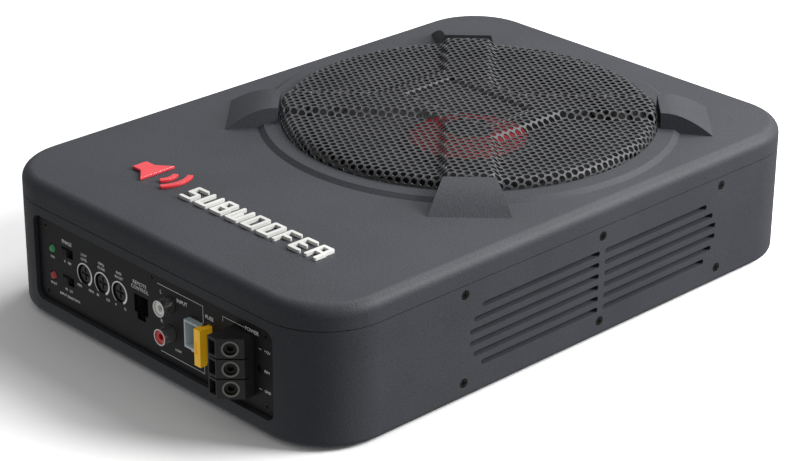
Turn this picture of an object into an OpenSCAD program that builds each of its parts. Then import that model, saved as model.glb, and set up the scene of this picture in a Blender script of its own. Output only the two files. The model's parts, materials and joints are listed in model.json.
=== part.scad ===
// Powered under-seat car subwoofer: a flat two-part case with an 8-inch driver under a pressed
// grille, an amplifier behind the front control panel and cooling slots along one long side.
// X is the width, Y the length with the control panel towards -Y, Z is up.

/* [Case] */
// Width of the case
case_w = 244; // [236:1:260]
// Length of the case
case_l = 345; // [335:1:370]
// Height of the flat top above the case bottom
case_h = 72.4; // [72:0.1:74]
// Radius of the upright corners
corner_r = 36; // [28:1:40]
// Radius of the edge round the top
edge_r = 6; // [4:0.5:7]
// Radius of the edge round the bottom
base_edge_r = 3.5; // [2:0.5:5]
// Wall thickness of both case parts
wall = 3; // [2.5:0.1:3.2]
// Height of the joint between lower case and top cover
seam_z = 60; // [59:0.5:61]
// Width of the groove at that joint
seam_gap = 0.4; // [0.3:0.1:0.6]
// Height of the rubber feet
foot_h = 1.5; // [1:0.5:4]

/* [Grille and driver] */
// Distance of the driver's centre behind the middle of the case
driver_y = 43; // [38:1:46]
// Outer radius of the grille
grille_r = 98.5; // [97.5:0.5:100]
// Height of the grille's four lower fields
grille_z = 79; // [78.5:0.5:81]
// Height of the grille's raised cross and hub
cross_z = 82; // [81:0.5:84]
// Width of the flat top of the cross's arms
arm_w = 24; // [20:1:30]
// Thickness of the grille's sheet
sheet_t = 1; // [0.8:0.1:1.2]
// Travel of the cone each way
cone_travel = 4.5; // [3:0.5:5]

/* [Control panel] */
// Depth of the panel's face behind the case's face
panel_recess = 2.5; // [2:0.1:3]
// Width of the panel opening
panel_w = 180; // [176:1:184]
// Height of the panel opening
panel_h = 46; // [44:1:47]
// Height of the panel's centre line
panel_z = 31.9; // [31:0.1:33]
// Height of the knobs' centre line
knob_z = 33.2; // [32:0.1:35]
// Distance between two knobs
knob_pitch = 13.8; // [12:0.1:15]
// Radius of a knob
knob_r = 4.4; // [3.5:0.1:4.6]
// How far the terminal block stands out of the panel
terminal_out = 14.8; // [12:0.1:18]

/* [Vent] */
// Rows of cooling slots
vent_rows = 6; // [3:1:6]
// Distance between two rows
vent_pitch = 6.1; // [5.5:0.1:6.2]
// Height of a slot
slot_h = 2.8; // [2:0.1:3.4]
// Half the length of the longest row
vent_half = 89.7; // [70:0.1:90]

/* [Hidden] */

$fn = 96;
eps = 0.02;                               // overlap that makes a cut clean

// Colours
c_shell = "#3b3d40";
c_dark = "#1c1d1f";
c_rubber = "#222222";
c_steel = "#9a9ca0";
c_zinc = "#c9cbcd";
c_copper = "#b8733a";
c_brass = "#c8a24a";
c_white = "#e8e8e4";
c_red = "#b3161b";

// Case
front_y = -case_l / 2;                    // the case's face that holds the panel
side_x = case_w / 2;                      // the case's face that holds the vent
panel_face = front_y + panel_recess;
panel_t = 2;
panel_back = panel_face + panel_t;
ledge_t = 3;                              // frame behind the panel that its screws bite into
case_y = (terminal_out - panel_recess) / 2; // puts the origin under the middle of the whole object
seam_low = seam_z - seam_gap / 2;
seam_high = seam_z + seam_gap / 2;
lip_h = 3.2;                              // tongue of the lower case inside the cover
lip_inset = 1.7;
rebate_inset = 1.5;
floor_t = wall;
ceiling_z = case_h - wall;
bracket_hole_r = 2.15;                    // clearance of an M4 screw
bracket_dx = 95;
bracket_dy = 130;
foot_dx = 98;
foot_dy = 148;
foot_r = 10;

// Screws
screw_r = 1.4;
screw_head_r = 2.5;
screw_ys = [-81.7, 13.3, 103.3];
screw_high_z = 55;
screw_low_z = 8.8;
tab_depth = 8;

// Vent
vent_y = 11.1;
vent_z = 31.05;
vent_bow = 1.33;                          // shortens the outer rows into a soft oval
mullion_y = 13.4;
mullion_w = 3.8;

// Grille, ring and lugs
ring_in = grille_r + 0.3;
ring_out = 107.5;
ring_base = 110.5;
ring_z = case_h + 1.8;
seat_z = 66;
opening_r = 86;
lug_in = grille_r + 0.7;
lug_flat = 103;
lug_out = 126;
lug_top_w = 26;
lug_base_w = 41;
lug_draft = 0.3;
cross_slope = 2.5;
hub_w = 81;
hub_l = 51;
hub_slope = 4;
hub_recess_w = 59;
hub_recess_l = 32;
hub_recess_d = 1.2;
bend_r = 5;

// Driver, from the seat downwards
flange_r = 97;
flange_z = seat_z + 2;
surround_in = 72.5;
surround_out = 85.3;
roll_r = (surround_out - surround_in) / 2;
roll_z = flange_z + 0.4;
driver_screw_r = 94.3;
spider_z = 47;
spider_out = 58;
cone_neck_r = 16.3;
cone_neck_z = 51;
cone_rim_r = 71.6;
cone_rim_z = 68.2;
cap_r = 36;
cap_h = 7.5;
basket_floor_z = 36;
plate_z = 31;
magnet_z = 16;
yoke_z = 10;
pole_r = 15.4;
coil_in = 15.9;
coil_out = 17.2;
gap_r = 17.8;
coil_bottom = magnet_z + cone_travel + 2;  // clears the back plate at full travel

// Panel furniture, x and z from the case's middle and bottom
led_x = -78.4;
led_zs = [38.4, 23.8];
led_r = 2.4;
led_set = 1.1;                            // the dome's centre lies this far behind the panel's face
switch_x = -66;
switch_zs = [40.1, 24.9];
switch_travel = 3;
knob_x0 = -52.4;
knob_xs = [for (i = [0:2]) knob_x0 + i * knob_pitch];
port_x = -8.15;
port_z = 32.6;
rca_x = 14;
rca_zs = [41, 26];
rca_r = 4.2;
rca_out = 7;
header_x = 33.1;
header_z = 32.6;
header_w = 10.2;
header_h = 14.4;
header_out = 3.3;
header_pitch = 4.2;
fuse_x = 42.3;
fuse_z = 31.1;
fuse_w = 4.4;
fuse_h = 19.2;
fuse_out = 7.2;
fuse_len = 12;
term_x = 59.3;                            // left side of the terminal block
term_w = 15;
term_z = 16.4;
term_cell = 10.27;
term_front = 5.8;                         // width of its flat front, before the slanted face
term_zs = [for (i = [2:-1:0]) term_z + term_cell * (i + 0.5)];
term_face = panel_face - terminal_out;
term_slant = term_w - term_front;         // both legs of the 45 degree face
term_mid = [term_x + term_front + term_slant / 2, term_face + term_slant / 2];
wire_w = 4.4;
wire_h = 7.2;
wire_x = term_x + 0.7;
wire_depth = 15;
set_screw_r = 3.1;
set_screw_len = 3;
cup_depth = 1.2;

lead_y = driver_y - 71.2;                 // wires from the board to the driver
lead_xs = [-5, 5];

// Amplifier
board_z = 12;
board_t = 1.6;
board_x0 = -92;
board_x1 = 102.6;
board_y0 = -160;
board_y1 = -20;
board_top = board_z + board_t;
post_xs = [-86, 88];
post_ys = [-152, -28];
input_board_y = -156.4;
sink_x = 104;

// Badge
badge_z = case_h;
badge_t = 1.6;
letter_h = 13.2;
letter_w = 8.2;
letter_pitch = 11.3;
letter_stroke = 1.9;
letters_x = -24;
letters_y = -132.4;
emblem_x = -48;
emblem_y = -122.5;

panel_screw_spots = [[-83, 49.7], [83, 49.7], [-83, 13.8], [83, 13.8], [1, 50.6], [78.2, 31.5]];

// ---- helpers -------------------------------------------------------------------------------

// Everything is drawn round the case's own middle, then stood on its feet.
module placed() {
  translate([0, case_y, foot_h]) children();
}

module on_driver() {
  translate([0, driver_y, 0]) children();
}

module rounded_rect(w, l, r) {
  square([w - 2 * r, l], center = true);
  square([w, l - 2 * r], center = true);
  for (x = [-1, 1], y = [-1, 1])
    translate([x * (w / 2 - r), y * (l / 2 - r)]) circle(r);
}

module block(w, l, r, z0, z1) {
  translate([0, 0, z0]) linear_extrude(z1 - z0) rounded_rect(w, l, r);
}

// A frame between an outer and an inner rounded outline, both given as insets from the case.
module case_ring(outer, inner, z0, z1) {
  difference() {
    block(case_w - 2 * outer, case_l - 2 * outer, corner_r - outer, z0, z1);
    block(case_w - 2 * inner, case_l - 2 * inner, corner_r - inner, z0 - 1, z1 + 1);
  }
}

// Half section of a wall corner: flat to the axis, with a round at the top and at the bottom.
module edge_profile(r, z0, z1, top, bottom) {
  translate([0, z0 + bottom]) square([r, z1 - z0 - top - bottom]);
  if (top > 0) {
    translate([0, z1 - top - eps]) square([r - top, top + eps]);
    intersection() {
      translate([r - top, z1 - top]) circle(top);
      translate([r - top, z1 - top]) square([top, top]);
    }
  }
  if (bottom > 0) {
    translate([0, z0]) square([r - bottom, bottom + eps]);
    intersection() {
      translate([r - bottom, z0 + bottom]) circle(bottom);
      translate([r - bottom, z0]) square([bottom, bottom]);
    }
  }
}

// A solid with the case's outline and rounded top or bottom edges.
module soft_block(z0, z1, top, bottom) {
  wx = case_w / 2 - corner_r;
  wy = case_l / 2 - corner_r;
  for (q = [0:3])
    translate([(q == 0 || q == 3 ? 1 : -1) * wx, (q < 2 ? 1 : -1) * wy, 0])
      rotate([0, 0, 90 * q])
        rotate_extrude(angle = 90) edge_profile(corner_r, z0, z1, top, bottom);
  for (s = [-1, 1]) {
    translate([s * wx, 0, 0]) rotate([90, 0, s > 0 ? 0 : 180])
      linear_extrude(2 * wy, center = true) edge_profile(corner_r, z0, z1, top, bottom);
    translate([0, s * wy, 0]) rotate([90, 0, s * 90])
      linear_extrude(2 * wx, center = true) edge_profile(corner_r, z0, z1, top, bottom);
  }
  translate([-wx, -wy, z0]) cube([2 * wx, 2 * wy, z1 - z0]);
}

module ring_solid(r_out, r_in, z0, z1) {
  difference() {
    translate([0, 0, z0]) cylinder(r = r_out, h = z1 - z0);
    translate([0, 0, z0 - 1]) cylinder(r = r_in, h = z1 - z0 + 2);
  }
}

// Runs along +Y from y0 to y1 at x, z.
module y_cylinder(x, z, y0, y1, r) {
  translate([x, y0, z]) rotate([-90, 0, 0]) cylinder(r = r, h = y1 - y0);
}

module y_box(x, z, w, h, y0, y1) {
  translate([x - w / 2, y0, z - h / 2]) cube([w, y1 - y0, h]);
}

module cross_slot(r, depth) {
  for (a = [0, 90]) rotate([0, 0, a]) cube([2 * r, r * 0.32, 2 * depth], center = true);
}

// A countersunk screw that points along -Z, with its head's top at the origin.
module countersunk(head_r, r, length) {
  difference() {
    union() {
      translate([0, 0, -length]) cylinder(r = r, h = length);
      translate([0, 0, -1.2]) cylinder(r1 = r, r2 = head_r, h = 1.2);
    }
    cross_slot(head_r * 0.62, 0.8);
  }
}

// A pan-head screw that points along -Z, with its head's seat at the origin.
module pan_screw(head_r, head_h, r, length) {
  difference() {
    union() {
      translate([0, 0, -length]) cylinder(r = r, h = length + eps);
      cylinder(r = head_r, h = head_h);
    }
    translate([0, 0, head_h]) cross_slot(head_r * 0.62, head_h * 0.5);
  }
}

// ---- case ----------------------------------------------------------------------------------

function lug_height(d) =
  cross_z - (cross_z - case_h) * pow(max(0, (d - lug_flat) / (lug_out - lug_flat)), 1.7);
function lug_half(d) =
  let (inner = lug_top_w / 2 + lug_draft * (cross_z - case_h))
  inner + (lug_base_w / 2 - inner) * (d - lug_in) / (lug_out - lug_in);

// One of the four arched lugs that stand outside the grille on its diagonals.
module lug() {
  spots = [lug_in, lug_flat, for (i = [1:6]) lug_flat + (lug_out - lug_flat) * i / 6];
  hull() {
    for (d = spots) {
      z = lug_height(d);
      half = lug_half(d) - lug_draft * (z - case_h);
      translate([d - 0.1, -half, z - 0.1]) cube([0.1, 2 * half, 0.1]);
    }
    for (d = [lug_in, lug_out])
      translate([d - 0.1, -lug_half(d), case_h - 1]) cube([0.1, 2 * lug_half(d), 0.8]);
  }
}

module cover_tab(y, s) {
  translate([s > 0 ? side_x - wall - 0.2 - tab_depth : -side_x + wall + 0.2, y - 6, 51])
    cube([tab_depth, 12, ceiling_z - 51 + 0.5]);
}

module top_cover() {
  color(c_shell) placed() difference() {
    union() {
      difference() {
        soft_block(seam_high, case_h, edge_r, 0);
        block(case_w - 2 * wall, case_l - 2 * wall, corner_r - wall, seam_high - 1, ceiling_z);
        block(case_w - 2 * rebate_inset, case_l - 2 * rebate_inset, corner_r - rebate_inset,
              seam_high - 1, seam_low + lip_h + 0.3);
      }
      on_driver() {
        translate([0, 0, case_h - eps]) cylinder(r1 = ring_base, r2 = ring_out, h = ring_z - case_h + eps);
        translate([0, 0, seat_z - 5]) cylinder(r = ring_out - 3, h = case_h - seat_z + 5);
        for (a = [45:90:315]) rotate([0, 0, a]) lug();
      }
      for (y = screw_ys, s = [-1, 1]) cover_tab(y, s);
    }
    on_driver() {
      translate([0, 0, seat_z]) cylinder(r = ring_in, h = 30);
      translate([0, 0, 50]) cylinder(r = opening_r, h = 30);
      for (i = [0:7]) rotate([0, 0, 22.5 + 45 * i])
        translate([driver_screw_r, 0, seat_z - 4]) cylinder(r = 1.3, h = 5);
    }
    for (y = screw_ys, s = [-1, 1])
      translate([s * (side_x - wall), y, screw_high_z]) rotate([0, 90 * s, 0])
        translate([0, 0, -7]) cylinder(r = screw_r + 0.05, h = 8);
  }
}

module vent_slots() {
  for (i = [0:vent_rows - 1]) {
    from_middle = i - (vent_rows - 1) / 2;
    half = vent_half - vent_bow * from_middle * from_middle;
    z = vent_z + from_middle * vent_pitch;
    for (ends = [[vent_y - half, mullion_y - mullion_w / 2], [mullion_y + mullion_w / 2, vent_y + half]])
      translate([side_x - wall - 1, 0, z]) rotate([0, 90, 0]) linear_extrude(wall + 2) {
        translate([-slot_h / 2, ends[0] + slot_h / 2]) square([slot_h, ends[1] - ends[0] - slot_h]);
        for (y = [ends[0] + slot_h / 2, ends[1] - slot_h / 2]) translate([0, y]) circle(slot_h / 2);
      }
  }
}

// Hole for a countersunk screw through a side wall.
module side_hole(y, z, s) {
  translate([s * side_x, y, z]) rotate([0, 90 * s, 0]) {
    translate([0, 0, -wall - 1]) cylinder(r = screw_r + 0.1, h = wall + 2);
    translate([0, 0, -1.3]) cylinder(r1 = screw_r + 0.1, r2 = screw_head_r + 0.15, h = 1.35);
  }
}

module lower_shell() {
  color(c_shell) placed() difference() {
    union() {
      difference() {
        soft_block(0, seam_low, 0, base_edge_r);
        block(case_w - 2 * wall, case_l - 2 * wall, corner_r - wall, floor_t, seam_low + 1);
      }
      case_ring(lip_inset, wall, seam_low - 1, seam_low + lip_h);
      // frame behind the control panel
      difference() {
        y_box(0, (floor_t + seam_low) / 2, panel_w + 12, seam_low - floor_t, front_y + wall - 0.5,
              panel_back + ledge_t);
        translate([-82, front_y, 16]) cube([157, 12, 31.6]);
      }
      for (x = [-1, 1], y = [-1, 1])
        translate([x * bracket_dx, y * bracket_dy, floor_t - 0.5]) cylinder(r = 5, h = 7.5);
      for (x = post_xs, y = post_ys)
        translate([x, y, floor_t - 0.5]) cylinder(r = 3.5, h = board_z - floor_t + 0.5);
    }
    // opening for the control panel, down to its seat
    translate([0, panel_back, panel_z]) rotate([90, 0, 0])
      linear_extrude(10) rounded_rect(panel_w, panel_h, 5);
    for (p = panel_screw_spots) y_cylinder(p[0], p[1], panel_back - 1, panel_back + ledge_t + 1, 1.05);
    vent_slots();
    for (y = screw_ys) {
      for (s = [-1, 1]) side_hole(y, screw_high_z, s);
      side_hole(y, screw_low_z, 1);
    }
    for (x = [-1, 1], y = [-1, 1])
      translate([x * bracket_dx, y * bracket_dy, -1]) cylinder(r = bracket_hole_r, h = 9.5);
    for (x = post_xs, y = post_ys) translate([x, y, board_z - 7]) cylinder(r = 1.1, h = 8);
  }
}

module cover_gasket() {
  color(c_rubber) placed() case_ring(0.8, rebate_inset, seam_low, seam_high);
}

module rubber_feet() {
  color(c_rubber) translate([0, case_y, 0]) for (x = [-1, 1], y = [-1, 1])
    translate([x * foot_dx, y * foot_dy, 0]) {
      cylinder(r1 = foot_r - 0.6, r2 = foot_r, h = foot_h / 2);
      translate([0, 0, foot_h / 2]) cylinder(r = foot_r, h = foot_h / 2);
    }
}

module side_screws() {
  color(c_dark) placed() {
    for (y = screw_ys, s = [-1, 1])
      translate([s * (side_x - 0.1), y, screw_high_z]) rotate([0, 90 * s, 0])
        countersunk(screw_head_r, screw_r, 9);
    for (y = screw_ys)
      translate([side_x - 0.1, y, screw_low_z]) rotate([0, 90, 0])
        countersunk(screw_head_r, screw_r, 9);
  }
}

module vent_screen() {
  color(c_dark) placed() translate([side_x - wall - 0.8, vent_y - 92, 12.5]) cube([0.8, 184, 37.5]);
}

// ---- grille --------------------------------------------------------------------------------

module wedge(w, l, z, slope) {
  // a block with four sloped sides, cut from two trapezoid bars
  low = z - 6;
  spread = slope * 2;
  intersection() {
    rotate([90, 0, 0]) linear_extrude(l + 2 * spread, center = true)
      polygon([[-w / 2 - spread, low], [w / 2 + spread, low], [w / 2, z], [-w / 2, z]]);
    rotate([90, 0, 90]) linear_extrude(w + 2 * spread, center = true)
      polygon([[-l / 2 - spread, low], [l / 2 + spread, low], [l / 2, z], [-l / 2, z]]);
  }
}

// The grille's outside, or with an inset the space under its sheet.
module grille_form(inset) {
  r = grille_r - inset;
  base = seat_z + 0.1 - inset;
  difference() {
    union() {
      rotate_extrude() {
        square([r - bend_r, grille_z - inset]);
        square([r, grille_z - inset - bend_r]);
        intersection() {
          translate([r - bend_r, grille_z - inset - bend_r]) circle(bend_r);
          square([r, grille_z - inset]);
        }
      }
      intersection() {
        for (a = [45, 135]) rotate([0, 0, a])
          wedge(2 * grille_r + 20, arm_w - 2 * inset, cross_z - inset, cross_slope);
        translate([0, 0, base]) cylinder(r = r, h = 40);
      }
      wedge(hub_w - 2 * inset, hub_l - 2 * inset, cross_z - inset, hub_slope);
    }
    translate([-hub_recess_w / 2 - inset, -hub_recess_l / 2 - inset, cross_z - hub_recess_d - inset])
      cube([hub_recess_w + 2 * inset, hub_recess_l + 2 * inset, 5]);
    translate([0, 0, base - 100]) cylinder(r = 200, h = 100);
  }
}

module speaker_grille() {
  color(c_dark) placed() on_driver() difference() {
    grille_form(0);
    grille_form(sheet_t);
  }
}

// ---- driver --------------------------------------------------------------------------------

module driver_gasket() {
  color(c_rubber) placed() on_driver() ring_solid(91.2, 87, flange_z + 0.7, flange_z + 2.4);
}

module driver_basket() {
  color(c_dark) placed() on_driver() difference() {
    union() {
      // tab that carries the terminal
      translate([-7, lead_y - driver_y + 2.4, spider_z + 2.5]) cube([14, 4.6, 1.2]);
      basket_shape();
    }
    for (i = [0:5]) rotate([0, 0, 60 * i])
      translate([0, 0, 53]) intersection() {
        translate([62, -22, -4]) cube([30, 44, 13]);
        translate([0, 0, -5]) cylinder(r = 83, h = 20);
      }
    for (i = [0:7]) rotate([0, 0, 22.5 + 45 * i])
      translate([driver_screw_r, 0, seat_z - 1]) cylinder(r = 1.5, h = 5);
  }
}

module basket_shape() {
  rotate_extrude() polygon([
    [flange_r, seat_z], [flange_r, flange_z], [84, flange_z], [59.5, spider_z], [52, spider_z],
    [52, basket_floor_z + 2.5], [24, basket_floor_z + 2.5], [24, basket_floor_z],
    [57.5, basket_floor_z], [57.5, basket_floor_z + 8], [85.8, seat_z - 0.2], [85.8, seat_z]
  ]);
}

module driver_screws() {
  color(c_dark) placed() on_driver() for (i = [0:7]) rotate([0, 0, 22.5 + 45 * i])
    translate([driver_screw_r, 0, flange_z]) pan_screw(2.4, 1.5, 1.25, 5.5);
}

// Half roll of rubber between the cone's rim and the basket.
module surround() {
  mid = (surround_in + surround_out) / 2;
  color(c_rubber) placed() on_driver() rotate_extrude() {
    difference() {
      translate([mid, roll_z]) circle(roll_r);
      translate([mid, roll_z]) circle(roll_r - 0.9);
      translate([mid - 10, roll_z - 20]) square([20, 20]);
    }
    translate([mid + roll_r - 0.9, flange_z + 0.01]) square([91.2 - mid - roll_r + 0.9, 0.68]);
    translate([cone_rim_r - 4, cone_rim_z + 0.1]) square([mid - roll_r - cone_rim_r + 4.9, 0.7]);
  }
}

function cone_height(r) =
  cone_neck_z + (cone_rim_z - cone_neck_z)
  * (1 - pow(1 - (r - cone_neck_r) / (cone_rim_r - cone_neck_r), 1.4));
cone_steps = 10;
cone_rs = [for (i = [0:cone_steps]) cone_neck_r + (cone_rim_r - cone_neck_r) * i / cone_steps];

module cone() {
  color(c_dark) placed() on_driver() rotate_extrude() polygon(concat(
    [for (r = cone_rs) [r, cone_height(r)]],
    [for (i = [cone_steps:-1:0]) [cone_rs[i], cone_height(cone_rs[i]) - 1]]
  ));
}

cap_z = cone_height(cap_r) + 0.25;
cap_ball = (cap_r * cap_r + cap_h * cap_h) / (2 * cap_h);
function cap_height(r, lift = 0) =
  cap_z + cap_h - cap_ball + sqrt((cap_ball + lift) * (cap_ball + lift) - r * r);

// A shell that follows the dust cap's dome between two radii.
module dome_shell(r0, r1, low, high) {
  steps = 8;
  rs = [for (i = [0:steps]) r0 + (r1 - r0) * i / steps];
  rotate_extrude() polygon(concat(
    [for (r = rs) [r, cap_height(r, high)]],
    [for (i = [steps:-1:0]) [rs[i], cap_height(rs[i], low)]]
  ));
}

module dust_cap() {
  color(c_dark) placed() on_driver() dome_shell(0, cap_r, 0, 0.8);
}

module dust_cap_ring() {
  color(c_red) placed() on_driver() dome_shell(13, 31, 0.83, 1.1);
}

// Corrugated disc that centres the voice coil, glued to a ledge of the basket.
module spider() {
  folds = 24;
  inner = coil_out + 0.1;
  outer = 52;
  rs = [for (i = [0:folds]) inner + (outer - inner) * i / folds];
  function wave(i) = spider_z + 0.9 + 0.85 * sin(i * 90);
  color("#b59a5b") placed() on_driver() rotate_extrude() {
    polygon(concat(
      [for (i = [0:folds]) [rs[i], wave(i) + 0.3]],
      [for (i = [folds:-1:0]) [rs[i], wave(i) - 0.3]]
    ));
    translate([outer - 0.1, wave(0) - 0.3]) square([0.6, 0.6]);
    translate([outer + 0.4, spider_z + 0.02]) square([spider_out - outer - 0.4, 0.6]);
    translate([outer + 0.4, spider_z + 0.02]) square([0.6, wave(0) + 0.28 - spider_z]);
  }
}

module voice_coil() {
  color(c_copper) placed() on_driver() {
    ring_solid(coil_in + 0.35, coil_in, coil_bottom, cone_neck_z + 2);
    ring_solid(coil_out, coil_in + 0.35, coil_bottom + 3, coil_bottom + 16);
  }
}

module top_plate() {
  color(c_steel) placed() on_driver() ring_solid(46, gap_r, plate_z, basket_floor_z);
}

module magnet() {
  color("#2b2b2d") placed() on_driver() ring_solid(50, 22, magnet_z, plate_z);
}

// Back plate and pole piece in one, with a vent hole through the pole.
module yoke() {
  color(c_steel) placed() on_driver() difference() {
    union() {
      translate([0, 0, yoke_z]) cylinder(r1 = 43, r2 = 46, h = 3);
      translate([0, 0, yoke_z + 3]) cylinder(r = 46, h = magnet_z - yoke_z - 3);
      translate([0, 0, magnet_z - 1]) cylinder(r = pole_r, h = basket_floor_z - magnet_z + 1);
    }
    translate([0, 0, yoke_z - 1]) cylinder(r = 6, h = 40);
  }
}

module driver_terminal() {
  color("#6b4a2a") placed() difference() {
    translate([-11, lead_y - 3.5, 44]) cube([22, 5.9, 8]);
    for (x = lead_xs) translate([x, lead_y, 40]) cylinder(r = 1.25, h = 9);
  }
}

module speaker_leads() {
  for (i = [0, 1]) color(i == 0 ? "#2a2a2a" : c_red)
    placed() translate([lead_xs[i], lead_y, board_top]) cylinder(r = 1.2, h = 48.5 - board_top);
}

// ---- amplifier -----------------------------------------------------------------------------

module circuit_board() {
  color("#1f5a34") placed() difference() {
    translate([board_x0, board_y0, board_z]) cube([board_x1 - board_x0, board_y1 - board_y0, board_t]);
    for (x = post_xs, y = post_ys) translate([x, y, board_z - 1]) cylinder(r = 1.6, h = 4);
  }
}

module board_screws() {
  color(c_zinc) placed() for (x = post_xs, y = post_ys)
    translate([x, y, board_top]) pan_screw(2.6, 1.8, 1.05, 7.5);
}

module input_board() {
  color("#1f5a34") placed() translate([-90, input_board_y, board_top]) cube([138, board_t, 35]);
}

// Finned aluminium bar along the vented side.
module heat_sink() {
  color("#8d9095") placed() difference() {
    union() {
      translate([sink_x, -95, 4]) cube([3.5, 210, 45]);
      translate([sink_x + 3.4, -95, 4]) cube([10.9, 210, 7.6]);
      for (i = [0:4]) translate([sink_x + 3.4, -95, 16 + 7 * i]) cube([9.2, 210, 1.8]);
    }
    for (y = screw_ys) translate([sink_x + 3, y, screw_low_z]) rotate([0, 90, 0])
      cylinder(r = screw_r + 0.05, h = 20);
  }
}

transistor_ys = [for (i = [0:5]) -90 + 13 * i];

module power_transistors() {
  color(c_dark) placed() for (y = transistor_ys) {
    translate([sink_x - 4.6, y - 5, 19]) cube([4.5, 10, 15]);
    translate([sink_x - 1.4, y - 5, 34 - eps]) cube([1.3, 10, 6]);
    for (k = [-1, 0, 1])
      translate([sink_x - 3.2, y + 2.54 * k - 0.4, board_top]) cube([0.6, 0.8, 19 - board_top + eps]);
  }
}

module capacitors() {
  color("#23305c") placed() for (p = [[30, -128], [52, -128], [74, -128], [30, -104], [52, -104], [74, -104]])
    translate([p[0], p[1], board_top]) {
      cylinder(r = 9, h = 33);
      translate([0, 0, 33]) cylinder(r1 = 9, r2 = 8, h = 1);
    }
}

module choke() {
  color(c_copper) placed() for (x = [34, 66])
    translate([x, -74, board_top + 6]) rotate_extrude() translate([8.5, 0]) circle(6);
}

module transformer() {
  color(c_copper) placed() translate([-12, -95, board_top + 9.5]) difference() {
    rotate_extrude() translate([15, 0]) circle(9.5);
    translate([0, 0, -20]) cylinder(r = 4.5, h = 40);
  }
}

// ---- control panel -------------------------------------------------------------------------

module port_outline(grow) {
  square([10.5 + 2 * grow, 9.5 + 2 * grow], center = true);
  translate([0, -6.4]) square([6.4 + 2 * grow, 3.6 + 2 * grow], center = true);
}

module control_panel() {
  cut0 = panel_face - 1;
  cut1 = panel_back + 1;
  color(c_dark) placed() difference() {
    translate([0, panel_back, panel_z]) rotate([90, 0, 0]) linear_extrude(panel_t)
      rounded_rect(panel_w - 0.6, panel_h - 0.6, 4.7);
    for (z = led_zs) y_cylinder(led_x, z, cut0, cut1, led_r + 0.15);
    for (z = switch_zs) y_box(switch_x, z, 9, 4.8, cut0, cut1);
    for (x = knob_xs) y_cylinder(x, knob_z, cut0, cut1, knob_r + 0.5);
    translate([port_x, cut1, port_z]) rotate([90, 0, 0]) linear_extrude(5) port_outline(0);
    for (z = rca_zs) y_cylinder(rca_x, z, cut0, cut1, rca_r + 0.2);
    y_box(header_x, header_z, header_w + 0.4, header_h + 0.4, cut0, cut1);
    y_box(header_x, header_z - header_h / 2 - 1, 4.4, 2.4, cut0, cut1);
    y_box(fuse_x, fuse_z, fuse_w + 2, fuse_h + 2.2, cut0, cut1);
    y_box(term_x + 7.4, term_z + 1.5 * term_cell, 12.2, 28.2, cut0, cut1);
    for (p = panel_screw_spots) {
      y_cylinder(p[0], p[1], cut0, cut1, 1.25);
      translate([p[0], panel_face - 0.05, p[1]]) rotate([-90, 0, 0])
        cylinder(r1 = 2.65, r2 = 1.25, h = 1.35);
    }
  }
}

module panel_screws() {
  color(c_dark) placed() for (p = panel_screw_spots)
    translate([p[0], panel_face + 0.05, p[1]]) rotate([90, 0, 0]) countersunk(2.4, 1.0, 6);
}

// Trimmer knob with a screwdriver slot, set back in its hole.
module knob(x) {
  placed() difference() {
    union() {
      y_cylinder(x, knob_z, panel_face + 0.7, panel_face + 6.5, knob_r);
      y_cylinder(x, knob_z, panel_face + 6.4, panel_face + 10.5, 1.5);
    }
    y_box(x, knob_z, 1.1, 6.4, panel_face, panel_face + 2.2);
    y_box(x, knob_z, 6.4, 1.1, panel_face, panel_face + 1.5);
  }
}

module level_knob() { color(c_dark) knob(knob_xs[0]); }
module filter_knob() { color(c_dark) knob(knob_xs[1]); }
module bass_knob() { color(c_dark) knob(knob_xs[2]); }

module potentiometers() {
  color("#3a3a3a") placed() for (x = knob_xs) difference() {
    y_box(x, knob_z, 11.5, 12.5, panel_face + 7, input_board_y);
    y_cylinder(x, knob_z, panel_face + 6, panel_face + 10.8, 1.58);
  }
}

// Thumb of a slide switch, with ribs, and the foot that runs inside the switch. It rests at
// the left end of its travel.
module slider(z) {
  x = switch_x - switch_travel / 2;
  placed() difference() {
    union() {
      y_box(x, z, 4, 3.6, panel_face - 1.1, panel_back + 1.5);
      y_box(x, z, 6, 4.4, panel_back + 1.4, panel_back + 3);
    }
    for (k = [-1, 0, 1]) y_box(x + 1.2 * k, z, 0.5, 4, panel_face - 2, panel_face - 0.7);
  }
}

module phase_slider() { color("#2c2c2e") slider(switch_zs[0]); }
module input_slider() { color("#2c2c2e") slider(switch_zs[1]); }

module switch_bodies() {
  color(c_steel) placed() for (z = switch_zs) difference() {
    y_box(switch_x, z, 13, 8, panel_back + 0.3, input_board_y);
    y_box(switch_x, z, 9.8, 5.2, panel_back + 1.1, panel_back + 3.4);
    y_box(switch_x, z, 7.8, 4.4, panel_back, panel_back + 2);
  }
}

module led(z) {
  placed() {
    y_cylinder(led_x, z, panel_face + led_set, panel_face + 7, led_r);
    difference() {
      translate([led_x, panel_face + led_set, z]) sphere(led_r);
      y_box(led_x, z, 8, 8, panel_face + led_set + eps, panel_face + 8);
    }
  }
}

module power_led() { color("#1f9a45") led(led_zs[0]); }
module protect_led() { color(c_red) led(led_zs[1]); }

module rca_shells() {
  color(c_zinc) placed() for (z = rca_zs) difference() {
    union() {
      y_cylinder(rca_x, z, panel_face - rca_out, panel_face, rca_r);
      y_cylinder(rca_x, z, panel_face - eps, panel_back + 2, rca_r - 0.2);
    }
    y_cylinder(rca_x, z, panel_face - rca_out - 1, panel_back + 3, rca_r - 0.6);
  }
}

module rca_insulator(z) {
  placed() difference() {
    y_cylinder(rca_x, z, panel_face - rca_out + 0.9, panel_back + 2, rca_r - 0.6);
    y_cylinder(rca_x, z, panel_face - rca_out, panel_face + 1, 1.6);
  }
}

module rca_insulator_white() { color(c_white) rca_insulator(rca_zs[0]); }
module rca_insulator_red() { color(c_red) rca_insulator(rca_zs[1]); }

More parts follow.
